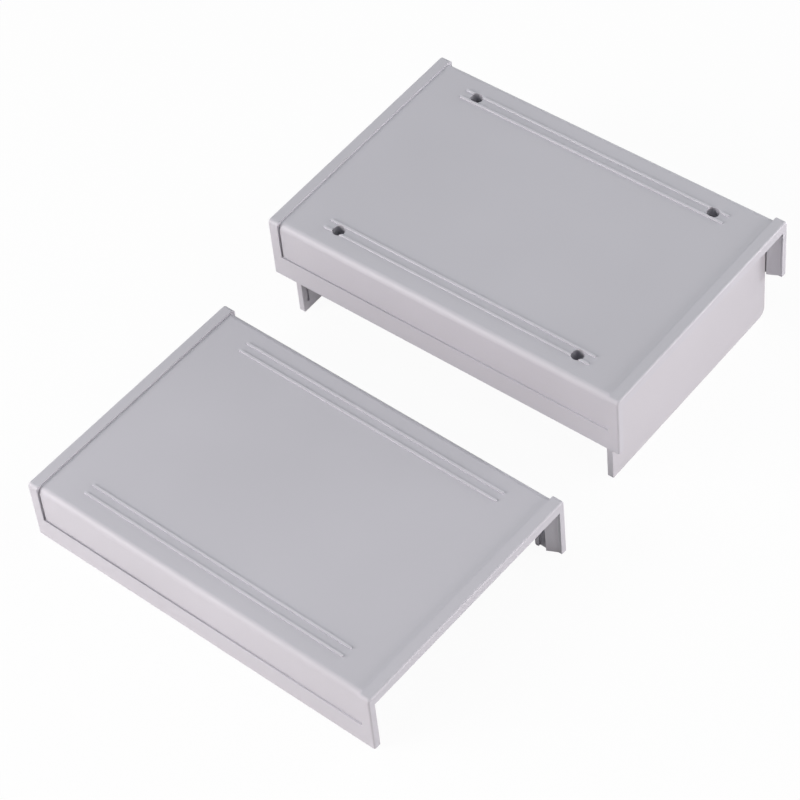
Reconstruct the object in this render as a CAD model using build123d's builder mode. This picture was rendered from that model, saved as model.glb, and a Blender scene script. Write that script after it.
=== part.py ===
from build123d import *
from math import cos, radians, sin
import os

os.makedirs("parts", exist_ok=True)

# Plastic project box, taken apart as it lies on a bench: the base shell stands upside down
# on its two end panels, and the cover shell lies in front of it on its long edges.
# Millimetres, +Z up, X along the box. The origin is on the table, under the middle of the layout.

# Closed box
box_length = 150.0
box_width = 100.6
box_height = 52.3
rim_edge_radius = 1.6
recess_edge_radius = 2.6
end_edge_radius = 0.7

# Walls, and the shallow recess that runs over the plate and both long walls
wall_thickness = 2.0
plate_thickness = 2.3
inner_corner_radius = 1.2
recess_depth = 0.7
rim_width = 4.2
skirt_height = 9.5
recess_line_width = 0.35
recess_line_depth = 0.5

# Frame inside each open end: a bevelled mouth, a groove for the end panel, a retaining rib
mouth_land = 1.5
mouth_bevel = 3.8
plate_band = 4.2
lip_reach = 1.9
plate_lip_reach = 1.8
retaining_rib_width = 1.7
retaining_rib_round = 0.7

# End panels and their fit in the grooves
panel_thickness = 2.4
panel_width = 92.2
panel_slide_y = -0.3
panel_front_corner_radius = 0.6
panel_back_corner_radius = 3.6
panel_edge_radius = 0.25
groove_inner_clearance = 0.1
groove_outer_clearance = 0.4
groove_end_clearance = 0.5
groove_depth_in_plate = 0.7
panel_height_play = 0.4
panel_slot_inset = 2.7
panel_slot_width = 1.1
panel_slot_depth = 0.8
panel_slot_margin = 3.8

# Raised ribs on the outside of each plate, in two pairs, set in from its ends and sides
rib_end_inset = 18.1
rib_side_inset = 11.1
rib_width = 0.8
rib_height = 0.5
rib_pair_pitch = 4.0

# Case screws and the posts that take them, set in from the box's ends and sides
screw_end_inset = 23.7
screw_side_inset = 10.5
post_diameter = 8.0
head_bore_diameter = 4.7
head_seat_thickness = 3.0
screw_diameter = 2.5
screw_clearance = 0.25
screw_length = 12.0
screw_tip_length = 1.6
screw_head_diameter = 4.3
screw_head_height = 1.7
screw_head_round = 0.6
cross_length = 2.4
cross_width = 0.6
cross_depth = 1.0
pilot_diameter = 2.1
pilot_extra_depth = 1.5

# Layout on the table
cover_offset_x = -2.0
cover_offset_y = -128.4
cover_yaw = -1.5

# Sizes that follow from the ones above
half_height = box_height / 2
end_x = box_length / 2
inner_width = box_width - 2 * (recess_depth + wall_thickness)
inner_height = half_height - recess_depth - plate_thickness
mouth_height = half_height - plate_band
lip_width = inner_width - 2 * lip_reach
lip_height = mouth_height - plate_lip_reach
lip_x = end_x - mouth_land - mouth_bevel
groove_width = panel_thickness + groove_inner_clearance + groove_outer_clearance
groove_x = lip_x - groove_width
groove_middle_x = lip_x - groove_width / 2
frame_x = groove_x - retaining_rib_width
groove_span = panel_width + 2 * groove_end_clearance
groove_height = lip_height + groove_depth_in_plate
panel_height = 2 * groove_height - panel_height_play
panel_x = groove_x + groove_inner_clearance + panel_thickness / 2
recess_top = half_height - recess_depth
rib_length = box_length - 2 * rib_end_inset
rib_pair_spacing = box_width - 2 * rib_side_inset
screw_spacing_x = box_length - 2 * screw_end_inset
screw_spacing_y = box_width - 2 * screw_side_inset
screw_engagement = screw_length - head_seat_thickness

# Cover turned a little on the table, and the whole layout centred on the origin
cover_turn = radians(cover_yaw)
cover_half_x = (box_length * cos(cover_turn) + box_width * abs(sin(cover_turn))) / 2
cover_half_y = (box_width * cos(cover_turn) + box_length * abs(sin(cover_turn))) / 2
layout_low_x = min(-end_x, cover_offset_x - cover_half_x)
layout_high_x = max(end_x, cover_offset_x + cover_half_x)
layout_low_y = min(-box_width / 2, cover_offset_y - cover_half_y)
layout_high_y = max(box_width / 2, cover_offset_y + cover_half_y)
base_x = -(layout_low_x + layout_high_x) / 2
base_y = -(layout_low_y + layout_high_y) / 2
base_z = panel_height - groove_height
base_place = Location((base_x, base_y, base_z))
cover_place = Location((base_x + cover_offset_x, base_y + cover_offset_y, 0), (0, 0, cover_yaw))


def shell_profile(inset, corner_radius):
    """Outside section of a half shell on the active sketch, drawn in by an inset."""
    width = box_width - 2 * inset
    height = half_height - inset
    outline = Rectangle(width, height, align=(Align.CENTER, Align.MIN))
    top_corners = outline.vertices().group_by(Axis.Y)[-1]
    fillet(top_corners, radius=corner_radius)


# Moulding that both halves share: plate up, parting plane at z = 0
with BuildPart() as half_shell:
    with BuildSketch(Plane.YZ):
        shell_profile(recess_depth, recess_edge_radius)
    extrude(amount=end_x, both=True)
    with BuildSketch(Plane.YZ.offset(-end_x), Plane.YZ.offset(end_x - rim_width)):
        shell_profile(0, rim_edge_radius)
    extrude(amount=rim_width)
    Box(box_length, box_width, skirt_height, align=(Align.CENTER, Align.CENTER, Align.MIN))

    # Outer edges of both ends
    end_faces = faces().filter_by(Axis.X).group_by(Axis.X)
    end_edges = (end_faces[0] + end_faces[-1]).edges()
    fillet(end_edges - end_edges.group_by(Axis.Z)[0], radius=end_edge_radius)

    # Fine line sunk into both walls along the foot of each rim, above the skirt
    for side in (-1, 1):
        with BuildSketch(Plane.YZ.offset(side * (end_x - rim_width))):
            shell_profile(recess_depth, recess_edge_radius)
            line_floor_width = box_width - 2 * (recess_depth + recess_line_depth)
            Rectangle(line_floor_width, box_height, mode=Mode.SUBTRACT)
            Rectangle(box_width, 2 * skirt_height, mode=Mode.SUBTRACT)
        extrude(amount=-side * recess_line_width, mode=Mode.SUBTRACT)

    # Inside between the two end frames
    with BuildSketch(Plane.YZ):
        cavity = Rectangle(inner_width, inner_height, align=(Align.CENTER, Align.MIN))
        fillet(cavity.vertices().group_by(Axis.Y)[-1], radius=inner_corner_radius)
    extrude(amount=frame_x, both=True, mode=Mode.SUBTRACT)

    # Opening through the frames, and the groove for each end panel
    Box(box_length, lip_width, lip_height, align=(Align.CENTER, Align.CENTER, Align.MIN), mode=Mode.SUBTRACT)
    with Locations((-groove_middle_x, 0, 0), (groove_middle_x, 0, 0)):
        Box(
            groove_width,
            groove_span,
            groove_height,
            align=(Align.CENTER, Align.CENTER, Align.MIN),
            mode=Mode.SUBTRACT,
        )

    # Bevelled mouth of each end
    for side in (-1, 1):
        with BuildSketch(Plane.YZ.offset(side * end_x)):
            Rectangle(inner_width, mouth_height, align=(Align.CENTER, Align.MIN))
        extrude(amount=-side * mouth_land, mode=Mode.SUBTRACT)
        with BuildSketch(Plane.YZ.offset(side * (end_x - mouth_land))):
            Rectangle(inner_width, mouth_height, align=(Align.CENTER, Align.MIN))
        with BuildSketch(Plane.YZ.offset(side * lip_x)):
            Rectangle(lip_width, lip_height, align=(Align.CENTER, Align.MIN))
        loft(mode=Mode.SUBTRACT)

    # Rounded lower ends of the retaining ribs
    parting_edges = edges().filter_by(Axis.Y).group_by(Axis.Z)[0]
    left_rib_ends = parting_edges.filter_by_position(Axis.X, -groove_x, -frame_x)
    right_rib_ends = parting_edges.filter_by_position(Axis.X, frame_x, groove_x)
    fillet(left_rib_ends + right_rib_ends, radius=retaining_rib_round)

    # Posts for the case screws
    with GridLocations(screw_spacing_x, screw_spacing_y, 2, 2):
        Cylinder(
            post_diameter / 2,
            inner_height + plate_thickness / 2,
            align=(Align.CENTER, Align.CENTER, Align.MIN),
        )

    # Raised ribs outside
    with BuildSketch(Plane.XY.offset(recess_top)):
        for pair_y in (-rib_pair_spacing / 2, rib_pair_spacing / 2):
            with Locations((0, pair_y - rib_pair_pitch / 2), (0, pair_y + rib_pair_pitch / 2)):
                SlotOverall(rib_length, rib_width)
    extrude(amount=rib_height)

# Base shell: the posts are bored through from outside, with a seat for each screw head
with BuildPart() as base_shell:
    add(half_shell.part)
    with Locations((0, 0, recess_top + rib_height)):
        with GridLocations(screw_spacing_x, screw_spacing_y, 2, 2):
            CounterBoreHole(
                radius=screw_diameter / 2 + screw_clearance,
                counter_bore_radius=head_bore_diameter / 2,
                counter_bore_depth=recess_top + rib_height - head_seat_thickness,
            )
base_shell.part.locate(base_place)
base_shell.part.label = "base_shell"
export_step(base_shell.part, "parts/base_shell.step")

# Cover shell: the posts have blind pilot holes that the screws cut into
with BuildPart() as cover_shell:
    add(half_shell.part)
    with GridLocations(screw_spacing_x, screw_spacing_y, 2, 2):
        Cylinder(
            pilot_diameter / 2,
            screw_engagement + pilot_extra_depth,
            align=(Align.CENTER, Align.CENTER, Align.MIN),
            mode=Mode.SUBTRACT,
        )
cover_shell.part.locate(cover_place)
cover_shell.part.label = "cover_shell"
export_step(cover_shell.part, "parts/cover_shell.step")


# End panels, standing on the table with their top edges in the grooves of the base shell
for name, side in (("left_end_panel", -1), ("right_end_panel", 1)):
    panel_foot = (base_x + side * panel_x, base_y + panel_slide_y, 0)
    panel_plane = Plane(origin=panel_foot, x_dir=(0, 1, 0), z_dir=(1, 0, 0))
    with BuildPart() as end_panel:
        with BuildSketch(panel_plane.offset(-panel_thickness / 2)):
            Rectangle(panel_width, panel_height, align=(Align.CENTER, Align.MIN))
            fillet(vertices().group_by(Axis.X)[0], radius=panel_front_corner_radius)
            fillet(vertices().group_by(Axis.X)[-1], radius=panel_back_corner_radius)
        extrude(amount=panel_thickness)
        fillet(edges().filter_by(Axis.X, reverse=True), radius=panel_edge_radius)
        # Upright slots in the inner face, one near each upright edge
        with BuildSketch(panel_plane.offset(-side * panel_thickness / 2)):
            with Locations((0, panel_height / 2)):
                with GridLocations(panel_width - 2 * panel_slot_inset, 0, 2, 1):
                    SlotOverall(panel_height - 2 * panel_slot_margin, panel_slot_width, rotation=90)
        extrude(amount=side * panel_slot_depth, mode=Mode.SUBTRACT)
    end_panel.part.label = name
    export_step(end_panel.part, f"parts/{name}.step")


# Case screws, resting in the base shell's posts with their heads on the seats
def case_screw(label, x, y):
    """One pan-head screw, head up, with its head's underside on the seat at x, y."""
    seat = Plane(origin=(base_x + x, base_y + y, base_z + head_seat_thickness))
    side_view = Plane(origin=seat.origin, x_dir=(1, 0, 0), z_dir=(0, -1, 0))
    with BuildPart() as screw:
        with BuildSketch(side_view):
            with BuildLine():
                Polyline(
                    (0, screw_head_height),
                    (screw_head_diameter / 2, screw_head_height),
                    (screw_head_diameter / 2, 0),
                    (screw_diameter / 2, 0),
                    (screw_diameter / 2, screw_tip_length - screw_length),
                    (0, -screw_length),
                    close=True,
                )
            make_face()
        revolve(axis=Axis(seat.origin, (0, 0, 1)))
        fillet(edges().filter_by(GeomType.CIRCLE).group_by(Axis.Z)[-1], radius=screw_head_round)
        with BuildSketch(seat.offset(screw_head_height)):
            Rectangle(cross_length, cross_width)
            Rectangle(cross_width, cross_length)
        extrude(amount=-cross_depth, mode=Mode.SUBTRACT)
    screw.part.label = label
    export_step(screw.part, f"parts/{label}.step")


case_screw("case_screw_front_left", -screw_spacing_x / 2, -screw_spacing_y / 2)
case_screw("case_screw_front_right", screw_spacing_x / 2, -screw_spacing_y / 2)
case_screw("case_screw_back_left", -screw_spacing_x / 2, screw_spacing_y / 2)
case_screw("case_screw_back_right", screw_spacing_x / 2, screw_spacing_y / 2)
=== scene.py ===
import bmesh
import bpy
from math import cos, pi, radians, sin, tau
from mathutils import Matrix, Vector


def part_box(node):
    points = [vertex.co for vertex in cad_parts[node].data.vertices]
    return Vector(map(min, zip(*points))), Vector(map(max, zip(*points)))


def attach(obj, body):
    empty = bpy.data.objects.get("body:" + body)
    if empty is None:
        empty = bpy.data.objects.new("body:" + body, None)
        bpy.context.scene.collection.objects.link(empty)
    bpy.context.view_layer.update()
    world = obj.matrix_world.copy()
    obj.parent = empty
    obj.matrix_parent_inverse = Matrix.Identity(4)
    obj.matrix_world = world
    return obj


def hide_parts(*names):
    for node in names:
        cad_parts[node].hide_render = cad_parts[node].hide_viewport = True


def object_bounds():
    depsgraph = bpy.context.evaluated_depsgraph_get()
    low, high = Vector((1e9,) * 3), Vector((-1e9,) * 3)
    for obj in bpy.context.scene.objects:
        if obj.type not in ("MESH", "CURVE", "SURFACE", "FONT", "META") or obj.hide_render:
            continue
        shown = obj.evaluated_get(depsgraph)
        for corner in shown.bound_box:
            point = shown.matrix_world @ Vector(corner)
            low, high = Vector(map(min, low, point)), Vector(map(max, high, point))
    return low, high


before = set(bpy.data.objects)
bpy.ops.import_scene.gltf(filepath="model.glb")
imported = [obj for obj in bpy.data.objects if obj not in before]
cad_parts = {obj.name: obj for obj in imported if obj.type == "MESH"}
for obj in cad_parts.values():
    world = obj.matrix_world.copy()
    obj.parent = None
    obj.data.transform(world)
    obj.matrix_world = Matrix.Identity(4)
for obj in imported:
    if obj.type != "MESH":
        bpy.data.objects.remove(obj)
cadLow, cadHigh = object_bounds()
print("frame loaded,", len(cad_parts), "solids")

mm = 0.001


# Small helpers for objects and node trees

def newObject(name, data):
    thing = bpy.data.objects.new(name, data)
    bpy.context.scene.collection.objects.link(thing)
    return thing


def addNode(tree, kind, inputs=None, **settings):
    node = tree.nodes.new(kind)
    for name, value in settings.items():
        setattr(node, name, value)
    for socket, value in (inputs or {}).items():
        if isinstance(value, bpy.types.NodeSocket):
            tree.links.new(value, node.inputs[socket])
        else:
            node.inputs[socket].default_value = value
    return node


def calc(tree, operation, *terms):
    inputs = dict(enumerate(terms))
    return addNode(tree, "ShaderNodeMath", inputs, operation=operation).outputs[0]


def blendColours(tree, factor, first, second):
    node = addNode(tree, "ShaderNodeMix", {0: factor, 6: first, 7: second}, data_type="RGBA")
    return node.outputs[2]


def rescale(tree, value, fromLow, fromHigh, toLow, toHigh):
    inputs = {0: value, 1: fromLow, 2: fromHigh, 3: toLow, 4: toHigh}
    return addNode(tree, "ShaderNodeMapRange", inputs).outputs[0]


def makeNoise(tree, place, size, detail):
    inputs = {"Vector": place, "Scale": 1 / size, "Detail": detail}
    return addNode(tree, "ShaderNodeTexNoise", inputs).outputs["Fac"]


def newMaterial(name):
    material = bpy.data.materials.new(name)
    material.use_nodes = True
    tree = material.node_tree
    tree.nodes.clear()
    output = addNode(tree, "ShaderNodeOutputMaterial")
    place = addNode(tree, "ShaderNodeTexCoord").outputs["Object"]
    return material, tree, output, place


# Moulded plastic, in the one grey that the shells and panels share

shellPlastic = {
    "colour": (0.520, 0.512, 0.556),
    "flowSize": 70 * mm,  # soft clouds in the tone, as the melt ran
    "flowShade": 0.025,
    "flowDetail": 2.0,
    "grainSize": 0.35 * mm,  # fine spark-eroded grain of the mould
    "grainHeight": 0.004 * mm,
    "grainDetail": 3.0,
    "noiseRange": (0.3, 0.7),  # nearly all of the noise lies between these
    "roughness": (0.44, 0.54),
    "refraction": 1.5,
    "speckSpacing": 16 * mm,
    "speckSize": 0.22 * mm,
    "speckFade": (0.6, 1.6),  # a speck fades out between these shares of its size
    "speckShade": 0.55,
    "speckShare": 0.35,
}

# The raised ribs carry a painted highlight: their colour is lighter than the plate that they stand on. They
# are also smoother.
ribPaintedHighlight = dict(shellPlastic, colour=(0.595, 0.586, 0.634), roughness=(0.36, 0.46), speckShare=0.0)

panelPlastic = dict(shellPlastic, colour=(0.530, 0.516, 0.552), roughness=(0.50, 0.60), speckShare=0.15)


def shadeOf(colour, share):
    return tuple(channel * share for channel in colour) + (1,)


def makePlastic(name, look):
    material, tree, output, place = newMaterial(name)
    base = look["colour"]
    dark = shadeOf(base, 1 - look["flowShade"])
    light = shadeOf(base, 1 + look["flowShade"])
    flow = makeNoise(tree, place, look["flowSize"], look["flowDetail"])
    tone = blendColours(tree, rescale(tree, flow, *look["noiseRange"], 0, 1), dark, light)

    # A few dark specks lie in the surface, far apart
    cells = addNode(tree, "ShaderNodeTexVoronoi", {"Vector": place, "Scale": 1 / look["speckSpacing"]})
    reach = look["speckSize"] / look["speckSpacing"]
    fadeStart, fadeEnd = (reach * share for share in look["speckFade"])
    spot = rescale(tree, cells.outputs["Distance"], fadeStart, fadeEnd, 1, 0)
    pick = addNode(tree, "ShaderNodeSeparateColor", {0: cells.outputs["Color"]}).outputs[0]
    chosen = calc(tree, "LESS_THAN", pick, look["speckShare"])
    speck = shadeOf(base, look["speckShade"])
    tone = blendColours(tree, calc(tree, "MULTIPLY", spot, chosen), tone, speck)

    grain = makeNoise(tree, place, look["grainSize"], look["grainDetail"])
    gloss = rescale(tree, grain, *look["noiseRange"], *look["roughness"])
    inputs = {"Height": grain, "Strength": 1.0, "Distance": look["grainHeight"]}
    bump = addNode(tree, "ShaderNodeBump", inputs)
    shader = addNode(
        tree,
        "ShaderNodeBsdfPrincipled",
        {"Base Color": tone, "Roughness": gloss, "Normal": bump.outputs[0], "IOR": look["refraction"]},
    )
    tree.links.new(shader.outputs[0], output.inputs["Surface"])
    return material


# Zinc plate on the case screws

zincPlate = {
    "colour": (0.60, 0.60, 0.58),
    "dull": (0.42, 0.42, 0.41),
    "cloudSize": 1.2 * mm,
    "cloudDetail": 4.0,
    "cloudRange": (0.35, 0.65),
    "roughness": (0.44, 0.26),  # on the dull clouds, and on the bright plate between them
}


def makeZinc(name, look):
    material, tree, output, place = newMaterial(name)
    cloud = makeNoise(tree, place, look["cloudSize"], look["cloudDetail"])
    amount = rescale(tree, cloud, *look["cloudRange"], 0, 1)
    tone = blendColours(tree, amount, shadeOf(look["dull"], 1), shadeOf(look["colour"], 1))
    gloss = rescale(tree, amount, 0, 1, *look["roughness"])
    inputs = {"Base Color": tone, "Roughness": gloss, "Metallic": 1.0}
    shader = addNode(tree, "ShaderNodeBsdfPrincipled", inputs)
    tree.links.new(shader.outputs[0], output.inputs["Surface"])
    return material


plasticOfShells = makePlastic("shell plastic", shellPlastic)
# the ribs' lighter colour is a painted highlight
plasticOfRibsPaintedHighlight = makePlastic("rib plastic, painted highlight", ribPaintedHighlight)
plasticOfPanels = makePlastic("panel plastic", panelPlastic)
zincOfScrews = makeZinc("zinc plate", zincPlate)
print("materials made")


# Shells and panels: merged copies of the solids, with the mould's small edge radii

moulding = {
    "mergeDistance": 0.002 * mm,
    "flatAngle": radians(0.5),  # faces nearer than this to one plane become one face
    "edgeAngle": radians(28),  # what turns by more is an edge, not a curve
    "edgeRadius": 0.16 * mm,
    "edgeSteps": 3,
    "ribRadius": 0.36 * mm,  # the fine ribs are drawn nearly half round
    "ribTopBelowRim": 0.2 * mm,
    "ribHeight": 0.5 * mm,
    "ribZone": 0.44,  # the ribs lie within this share of the width from the middle
}

shellPlastics = (plasticOfShells, plasticOfRibsPaintedHighlight)
ribSlot = shellPlastics.index(plasticOfRibsPaintedHighlight)
mouldedPieces = (
    ("base_shell", "baseShell", shellPlastics, "base_plastic", "base_half"),
    ("cover_shell", "coverShell", shellPlastics, "cover_plastic", "on_table"),
    ("left_end_panel", "leftEndPanel", (plasticOfPanels,), "panel_plastic", "on_table"),
    ("right_end_panel", "rightEndPanel", (plasticOfPanels,), "panel_plastic", "on_table"),
)


def copyMoulding(node, name, look, ribbed):
    work = bmesh.new()
    work.from_mesh(node.data)
    bmesh.ops.remove_doubles(work, verts=work.verts, dist=look["mergeDistance"])
    bmesh.ops.dissolve_limit(work, angle_limit=look["flatAngle"], verts=work.verts, edges=work.edges)
    weight = work.edges.layers.float.new("bevel_weight_edge")
    heights = [vert.co.z for vert in work.verts]
    depths = [vert.co.y for vert in work.verts]
    ribTop = max(heights) - look["ribTopBelowRim"]
    ribFoot = ribTop - look["ribHeight"]
    middleY = (min(depths) + max(depths)) / 2
    reachY = look["ribZone"] * (max(depths) - min(depths))
    slack = look["mergeDistance"]
    for face in work.faces:
        face.smooth = True
        centre = face.calc_center_median()
        raised = centre.z > ribFoot + slack and max(vert.co.z for vert in face.verts) < ribTop + slack
        # faces of the ribs take the material with the painted highlight
        if ribbed and raised and abs(centre.y - middleY) < reachY:
            face.material_index = ribSlot
    for edge in work.edges:
        turn = edge.calc_face_angle_signed(0)
        onRib = ribbed and all(abs(vert.co.z - ribTop) < slack for vert in edge.verts)
        radius = look["ribRadius"] if onRib else look["edgeRadius"]
        edge[weight] = radius / look["ribRadius"] if turn > look["edgeAngle"] else 0.0  # outer edges only
        edge.smooth = turn > -look["edgeAngle"]  # inner corners stay crisp
    mesh = bpy.data.meshes.new(name)
    work.to_mesh(mesh)
    work.free()
    piece = newObject(name, mesh)
    rounding = piece.modifiers.new("edge radius", "BEVEL")
    rounding.limit_method = "WEIGHT"
    rounding.width = look["ribRadius"]
    rounding.segments = look["edgeSteps"]
    shading = piece.modifiers.new("flat faces stay flat", "WEIGHTED_NORMAL")
    shading.keep_sharp = True
    return piece


for nodeName, pieceName, plastics, slotName, bodyName in mouldedPieces:
    piece = copyMoulding(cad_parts[nodeName], pieceName, moulding, plastics is shellPlastics)
    for plastic in plastics:
        piece.data.materials.append(plastic)
    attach(piece, bodyName)
    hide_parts(nodeName)
    faceCount = len(piece.data.polygons)
    ribFaces = sum(face.material_index == ribSlot for face in piece.data.polygons)
    print("moulded piece", pieceName, faceCount, "faces before rounding,", ribFaces, "on the ribs")


# Case screws: one threaded screw, repeated at the four seats

caseScrews = {
    "Head Diameter": 4.3 * mm,
    "Head Height": 1.7 * mm,
    "Root Diameter": 1.8 * mm,
    "Thread Diameter": 2.46 * mm,
    "Thread Pitch": 1.1 * mm,
    "Shank Length": 11.96 * mm,
    "Tip Length": 1.6 * mm,
    "Recess Length": 2.4 * mm,
    "Recess Width": 0.6 * mm,
    "Recess Depth": 1.0 * mm,
}
screwForm = {
    "around": 32,
    "perPitch": 10,
    "headSteps": 6,
    "crestSharpness": 1.6,
    "tipShare": 0.12,  # of the radius, left at the very tip
    "domePower": 5.0,  # the higher, the nearer to the top the head draws in
    "domeDraw": 0.24,
    "recessTaper": 0.5,  # share by which the recess narrows at its floor
    "twistSeed": 4,
    "smoothAngle": radians(40),
}
screwNodes = [f"case_screw_{row}_{side}" for row in ("front", "back") for side in ("left", "right")]


def raiseBy(tree, geometry, height):
    rise = addNode(tree, "ShaderNodeCombineXYZ", {"Z": height})
    inputs = {"Geometry": geometry, "Translation": rise.outputs[0]}
    return addNode(tree, "GeometryNodeTransform", inputs).outputs[0]


def scaleAcross(tree, geometry, place, factor):
    x, y, z = place
    inputs = {"X": calc(tree, "MULTIPLY", x, factor), "Y": calc(tree, "MULTIPLY", y, factor), "Z": z}
    moved = addNode(tree, "ShaderNodeCombineXYZ", inputs)
    inputs = {"Geometry": geometry, "Position": moved.outputs[0]}
    return addNode(tree, "GeometryNodeSetPosition", inputs).outputs[0]


# Shank: the radius of a plain cylinder follows the helix, and fades out at the tip
def makeShank(tree, start, place, sizes, form):
    x, y, z = place
    length, pitch = start["Shank Length"], start["Thread Pitch"]
    rings = round(sizes["Shank Length"] / sizes["Thread Pitch"] * form["perPitch"])
    blank = addNode(
        tree,
        "GeometryNodeMeshCylinder",
        {"Vertices": form["around"], "Side Segments": rings, "Radius": 1.0, "Depth": length},
    )
    hung = raiseBy(tree, blank.outputs["Mesh"], calc(tree, "MULTIPLY", length, -0.5))
    turn = calc(tree, "DIVIDE", calc(tree, "ARCTAN2", y, x), tau)
    phase = calc(tree, "FRACT", calc(tree, "SUBTRACT", calc(tree, "DIVIDE", z, pitch), turn))
    ridge = calc(tree, "SUBTRACT", 1.0, calc(tree, "ABSOLUTE", calc(tree, "MULTIPLY_ADD", phase, 2.0, -1.0)))
    crest = calc(tree, "POWER", ridge, form["crestSharpness"])
    root = calc(tree, "MULTIPLY", start["Root Diameter"], 0.5)
    depth = calc(tree, "SUBTRACT", calc(tree, "MULTIPLY", start["Thread Diameter"], 0.5), root)
    threaded = calc(tree, "MULTIPLY_ADD", crest, depth, root)
    aboveTip = calc(tree, "DIVIDE", calc(tree, "ADD", z, length), start["Tip Length"])
    taper = rescale(tree, aboveTip, 0, 1, form["tipShare"], 1)
    return scaleAcross(tree, hung, place, calc(tree, "MULTIPLY", threaded, taper))


# Head: a pan shape, drawn in towards the top
def makeHead(tree, start, place, form):
    blank = addNode(
        tree,
        "GeometryNodeMeshCylinder",
        {
            "Vertices": 2 * form["around"],
            "Side Segments": form["headSteps"],
            "Fill Segments": form["headSteps"],
            "Radius": calc(tree, "MULTIPLY", start["Head Diameter"], 0.5),
            "Depth": start["Head Height"],
        },
    )
    seated = raiseBy(tree, blank.outputs["Mesh"], calc(tree, "MULTIPLY", start["Head Height"], 0.5))
    height = calc(tree, "DIVIDE", place[2], start["Head Height"])
    rounding = calc(tree, "POWER", height, form["domePower"])
    draw = calc(tree, "MULTIPLY_ADD", rounding, -form["domeDraw"], 1.0)
    return scaleAcross(tree, seated, place, draw)


# Cross recess: two bars that narrow downwards
def cutRecess(tree, start, place, form, head):
    cut = addNode(tree, "GeometryNodeMeshBoolean", {"Mesh 1": head}, operation="DIFFERENCE")
    above = calc(tree, "SUBTRACT", place[2], start["Head Height"])
    level = calc(tree, "DIVIDE", above, start["Recess Depth"])
    narrow = rescale(tree, level, -1, 1, 1 - form["recessTaper"], 1 + form["recessTaper"])
    tall = calc(tree, "MULTIPLY", start["Recess Depth"], 2.0)
    for long, wide in (("X", "Y"), ("Y", "X")):
        inputs = {long: start["Recess Length"], wide: start["Recess Width"], "Z": tall}
        size = addNode(tree, "ShaderNodeCombineXYZ", inputs)
        bar = addNode(tree, "GeometryNodeMeshCube", {"Size": size.outputs[0]})
        raised = raiseBy(tree, bar.outputs["Mesh"], start["Head Height"])
        cutter = scaleAcross(tree, raised, place, narrow)
        tree.links.new(cutter, cut.inputs["Mesh 2"])
    return cut.outputs["Mesh"]


def makeScrewTree(sizes, form, material):
    tree = bpy.data.node_groups.new("case screw", "GeometryNodeTree")
    tree.interface.new_socket("Geometry", in_out="INPUT", socket_type="NodeSocketGeometry")
    for name in sizes:
        tree.interface.new_socket(name, in_out="INPUT", socket_type="NodeSocketFloat")
    tree.interface.new_socket("Geometry", in_out="OUTPUT", socket_type="NodeSocketGeometry")
    start = addNode(tree, "NodeGroupInput").outputs
    position = addNode(tree, "GeometryNodeInputPosition").outputs[0]
    place = tuple(addNode(tree, "ShaderNodeSeparateXYZ", {0: position}).outputs)
    shank = makeShank(tree, start, place, sizes, form)
    head = cutRecess(tree, start, place, form, makeHead(tree, start, place, form))

    # The whole screw stands on each seat, each turned its own way
    whole = addNode(tree, "GeometryNodeJoinGeometry", {0: shank})
    tree.links.new(head, whole.inputs[0])
    twist = addNode(
        tree,
        "FunctionNodeRandomValue",
        {"Min": (0, 0, 0), "Max": (0, 0, pi), "Seed": form["twistSeed"]},
        data_type="FLOAT_VECTOR",
    )
    placed = addNode(
        tree,
        "GeometryNodeInstanceOnPoints",
        {"Points": start["Geometry"], "Instance": whole.outputs[0], "Rotation": twist.outputs[0]},
    )
    real = addNode(tree, "GeometryNodeRealizeInstances", {0: placed.outputs[0]})
    plated = addNode(tree, "GeometryNodeSetMaterial", {"Geometry": real.outputs[0], "Material": material})
    end = addNode(tree, "NodeGroupOutput")
    tree.links.new(plated.outputs[0], end.inputs[0])
    return tree


def seatOfScrew(nodeName, headHeight):
    low, high = (Vector(corner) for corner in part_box(nodeName))
    middle = (low + high) / 2
    return Vector((middle.x, middle.y, high.z - headHeight))


def bakeTree(name, tree, points, values):
    mesh = bpy.data.meshes.new(name + " points")
    mesh.from_pydata(points, [], [])
    carrier = newObject(name + " carrier", mesh)
    modifier = carrier.modifiers.new(name, "NODES")
    modifier.node_group = tree
    for item in tree.interface.items_tree:
        if item.in_out == "INPUT" and item.name in values:
            modifier[item.identifier] = values[item.name]
    evaluated = carrier.evaluated_get(bpy.context.evaluated_depsgraph_get())
    baked = bpy.data.meshes.new_from_object(evaluated)
    baked.name = name
    piece = newObject(name, baked)
    bpy.data.objects.remove(carrier)
    return piece


screwTree = makeScrewTree(caseScrews, screwForm, zincOfScrews)
seats = [seatOfScrew(nodeName, caseScrews["Head Height"]) for nodeName in screwNodes]
screws = bakeTree("caseScrews", screwTree, seats, caseScrews)
screws.data.shade_smooth()
screws.data.set_sharp_from_angle(angle=screwForm["smoothAngle"])
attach(screws, "base_half")
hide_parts(*screwNodes)
print("case screws", len(screws.data.polygons), "faces")


# Floor, light and background

floorLook = {
    "size": 3.0,
    "albedo": 0.86,
    "mottleSize": 1 / 3,
    "mottleDetail": 2.0,
    "mottleShade": 0.01,
    "glow": 0.95,  # share of pure white that camera and reflections see; it lends no diffuse light
}

studio = {
    "worldColour": (0.97, 0.985, 1.0),
    "worldStrength": 0.04,
    "lampDistance": 1.1,
}

softLights = {
    # name: azimuth, elevation, size, power, colour
    "frontLeft": (-40, 25, 0.7, 11.01, (1.0, 0.957, 0.951)),
    "frontLow": (0, 8, 0.28, 1.67, (1.0, 0.832, 0.769)),
    "rightLow": (90, 8, 0.28, 4.18, (1.0, 0.915, 0.916)),
    "rightRearLow": (135, 8, 0.28, 3.24, (0.985, 0.964, 1.0)),
    "rightRearHigh": (120, 45, 0.7, 2.71, (0.997, 1.0, 0.977)),
    "rear": (160, 25, 0.7, 2.53, (0.992, 1.0, 0.954)),
    "overhead": (-60, 75, 0.7, 2.47, (0.857, 0.967, 1.0)),
}


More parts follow.
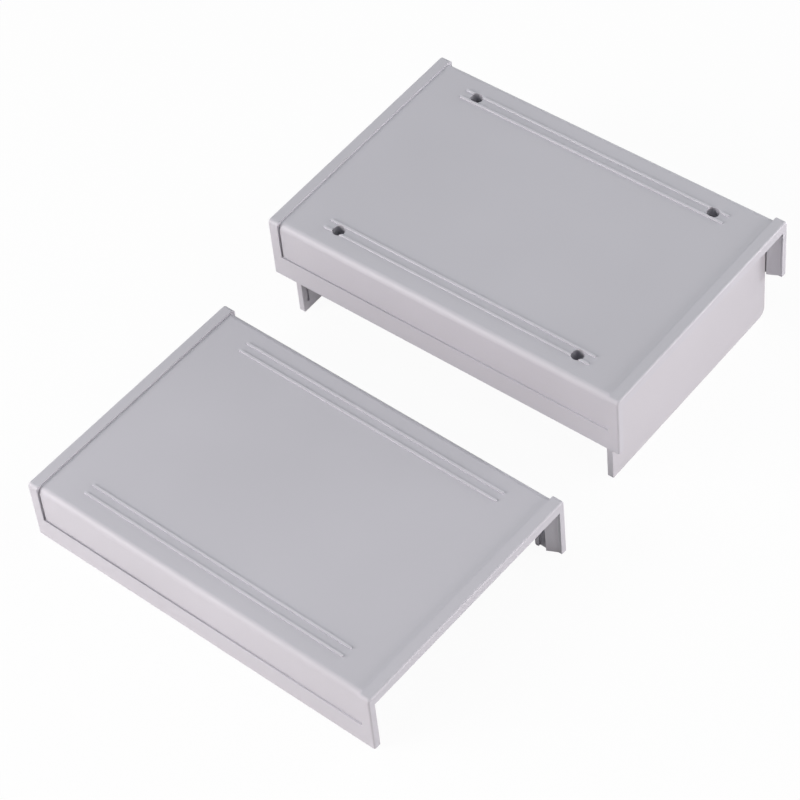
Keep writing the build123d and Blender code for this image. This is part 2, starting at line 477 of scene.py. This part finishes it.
def seenRays(tree):
    path = addNode(tree, "ShaderNodeLightPath").outputs
    mirrored = calc(tree, "MAXIMUM", path["Is Glossy Ray"], path["Is Transmission Ray"])
    return calc(tree, "MAXIMUM", path["Is Camera Ray"], mirrored)


def makeFloor(look):
    material, tree, output, place = newMaterial("studio floor")
    mottle = makeNoise(tree, place, look["mottleSize"], look["mottleDetail"])
    darkest, palest = look["albedo"] - look["mottleShade"], look["albedo"] + look["mottleShade"]
    level = rescale(tree, mottle, 0, 1, darkest, palest)
    tone = addNode(tree, "ShaderNodeCombineColor", {0: level, 1: level, 2: level})
    paper = addNode(tree, "ShaderNodeBsdfDiffuse", {"Color": tone.outputs[0]})
    white = addNode(tree, "ShaderNodeEmission", {"Strength": 1.0})
    share = calc(tree, "MULTIPLY", seenRays(tree), look["glow"])
    mix = addNode(tree, "ShaderNodeMixShader", {0: share, 1: paper.outputs[0], 2: white.outputs[0]})
    tree.links.new(mix.outputs[0], output.inputs["Surface"])
    half = look["size"] / 2
    corners = [(-half, -half, 0), (half, -half, 0), (half, half, 0), (-half, half, 0)]
    mesh = bpy.data.meshes.new("studioFloor")
    mesh.from_pydata(corners, [], [(0, 1, 2, 3)])
    mesh.materials.append(material)
    floor = newObject("studioFloor", mesh)


def makeWorld(look):
    world = bpy.data.worlds.new("studio")
    world.use_nodes = True
    tree = world.node_tree
    tree.nodes.clear()
    inputs = {0: look["worldColour"] + (1,), "Strength": look["worldStrength"]}
    light = addNode(tree, "ShaderNodeBackground", inputs)
    white = addNode(tree, "ShaderNodeBackground", {0: (1, 1, 1, 1), "Strength": 1.0})
    mix = addNode(tree, "ShaderNodeMixShader", {0: seenRays(tree), 1: light.outputs[0], 2: white.outputs[0]})
    output = addNode(tree, "ShaderNodeOutputWorld")
    tree.links.new(mix.outputs[0], output.inputs["Surface"])
    bpy.context.scene.world = world


def directionFrom(azimuth, elevation):
    around, rise = radians(azimuth), radians(elevation)
    return Vector((sin(around) * cos(rise), -cos(around) * cos(rise), sin(rise)))


def makeSoftLight(name, aim, distance, azimuth, elevation, size, power, colour):
    data = bpy.data.lights.new(name, "AREA")
    data.shape = "DISK"
    data.size = size
    data.energy = power
    data.color = colour
    lamp = newObject(name, data)
    back = directionFrom(azimuth, elevation)
    lamp.location = aim + back * distance
    lamp.rotation_euler = back.to_track_quat("Z", "Y").to_euler()
    lamp.visible_camera = False


middle = (cadLow + cadHigh) / 2
makeFloor(floorLook)
makeWorld(studio)
for lightName, values in softLights.items():
    makeSoftLight(lightName, middle, studio["lampDistance"], *values)
print("studio made")


# Camera at the photograph's angle, measured from under the middle of the base shell

photoCamera = {
    "azimuth": 43.003,
    "elevation": 48.993,
    "roll": -6.507,
    "distance": 1110.1 * mm,
    "shiftRight": -50.19 * mm,
    "shiftUp": -26.43 * mm,
    "lens": 139.52,
    "sensor": 36.0,
}


def makeCamera(look, target):
    back = directionFrom(look["azimuth"], look["elevation"])
    across = radians(look["azimuth"])
    right = Vector((cos(across), sin(across), 0))
    up = back.cross(right)
    place = target + right * look["shiftRight"] + up * look["shiftUp"] + back * look["distance"]
    lean = radians(look["roll"])
    leanRight = right * cos(lean) + up * sin(lean)
    leanUp = up * cos(lean) - right * sin(lean)
    turn = Matrix((leanRight, leanUp, back)).transposed().to_4x4()
    data = bpy.data.cameras.new("photoCamera")
    data.lens = look["lens"]
    data.sensor_width = look["sensor"]
    camera = newObject("photoCamera", data)
    camera.matrix_world = Matrix.Translation(place) @ turn
    bpy.context.scene.camera = camera


baseLow, baseHigh = (Vector(corner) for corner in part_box("base_shell"))
baseFoot = Vector(((baseLow.x + baseHigh.x) / 2, (baseLow.y + baseHigh.y) / 2, 0))
makeCamera(photoCamera, baseFoot)
bpy.context.scene.view_settings.view_transform = "Standard"
print("camera made")
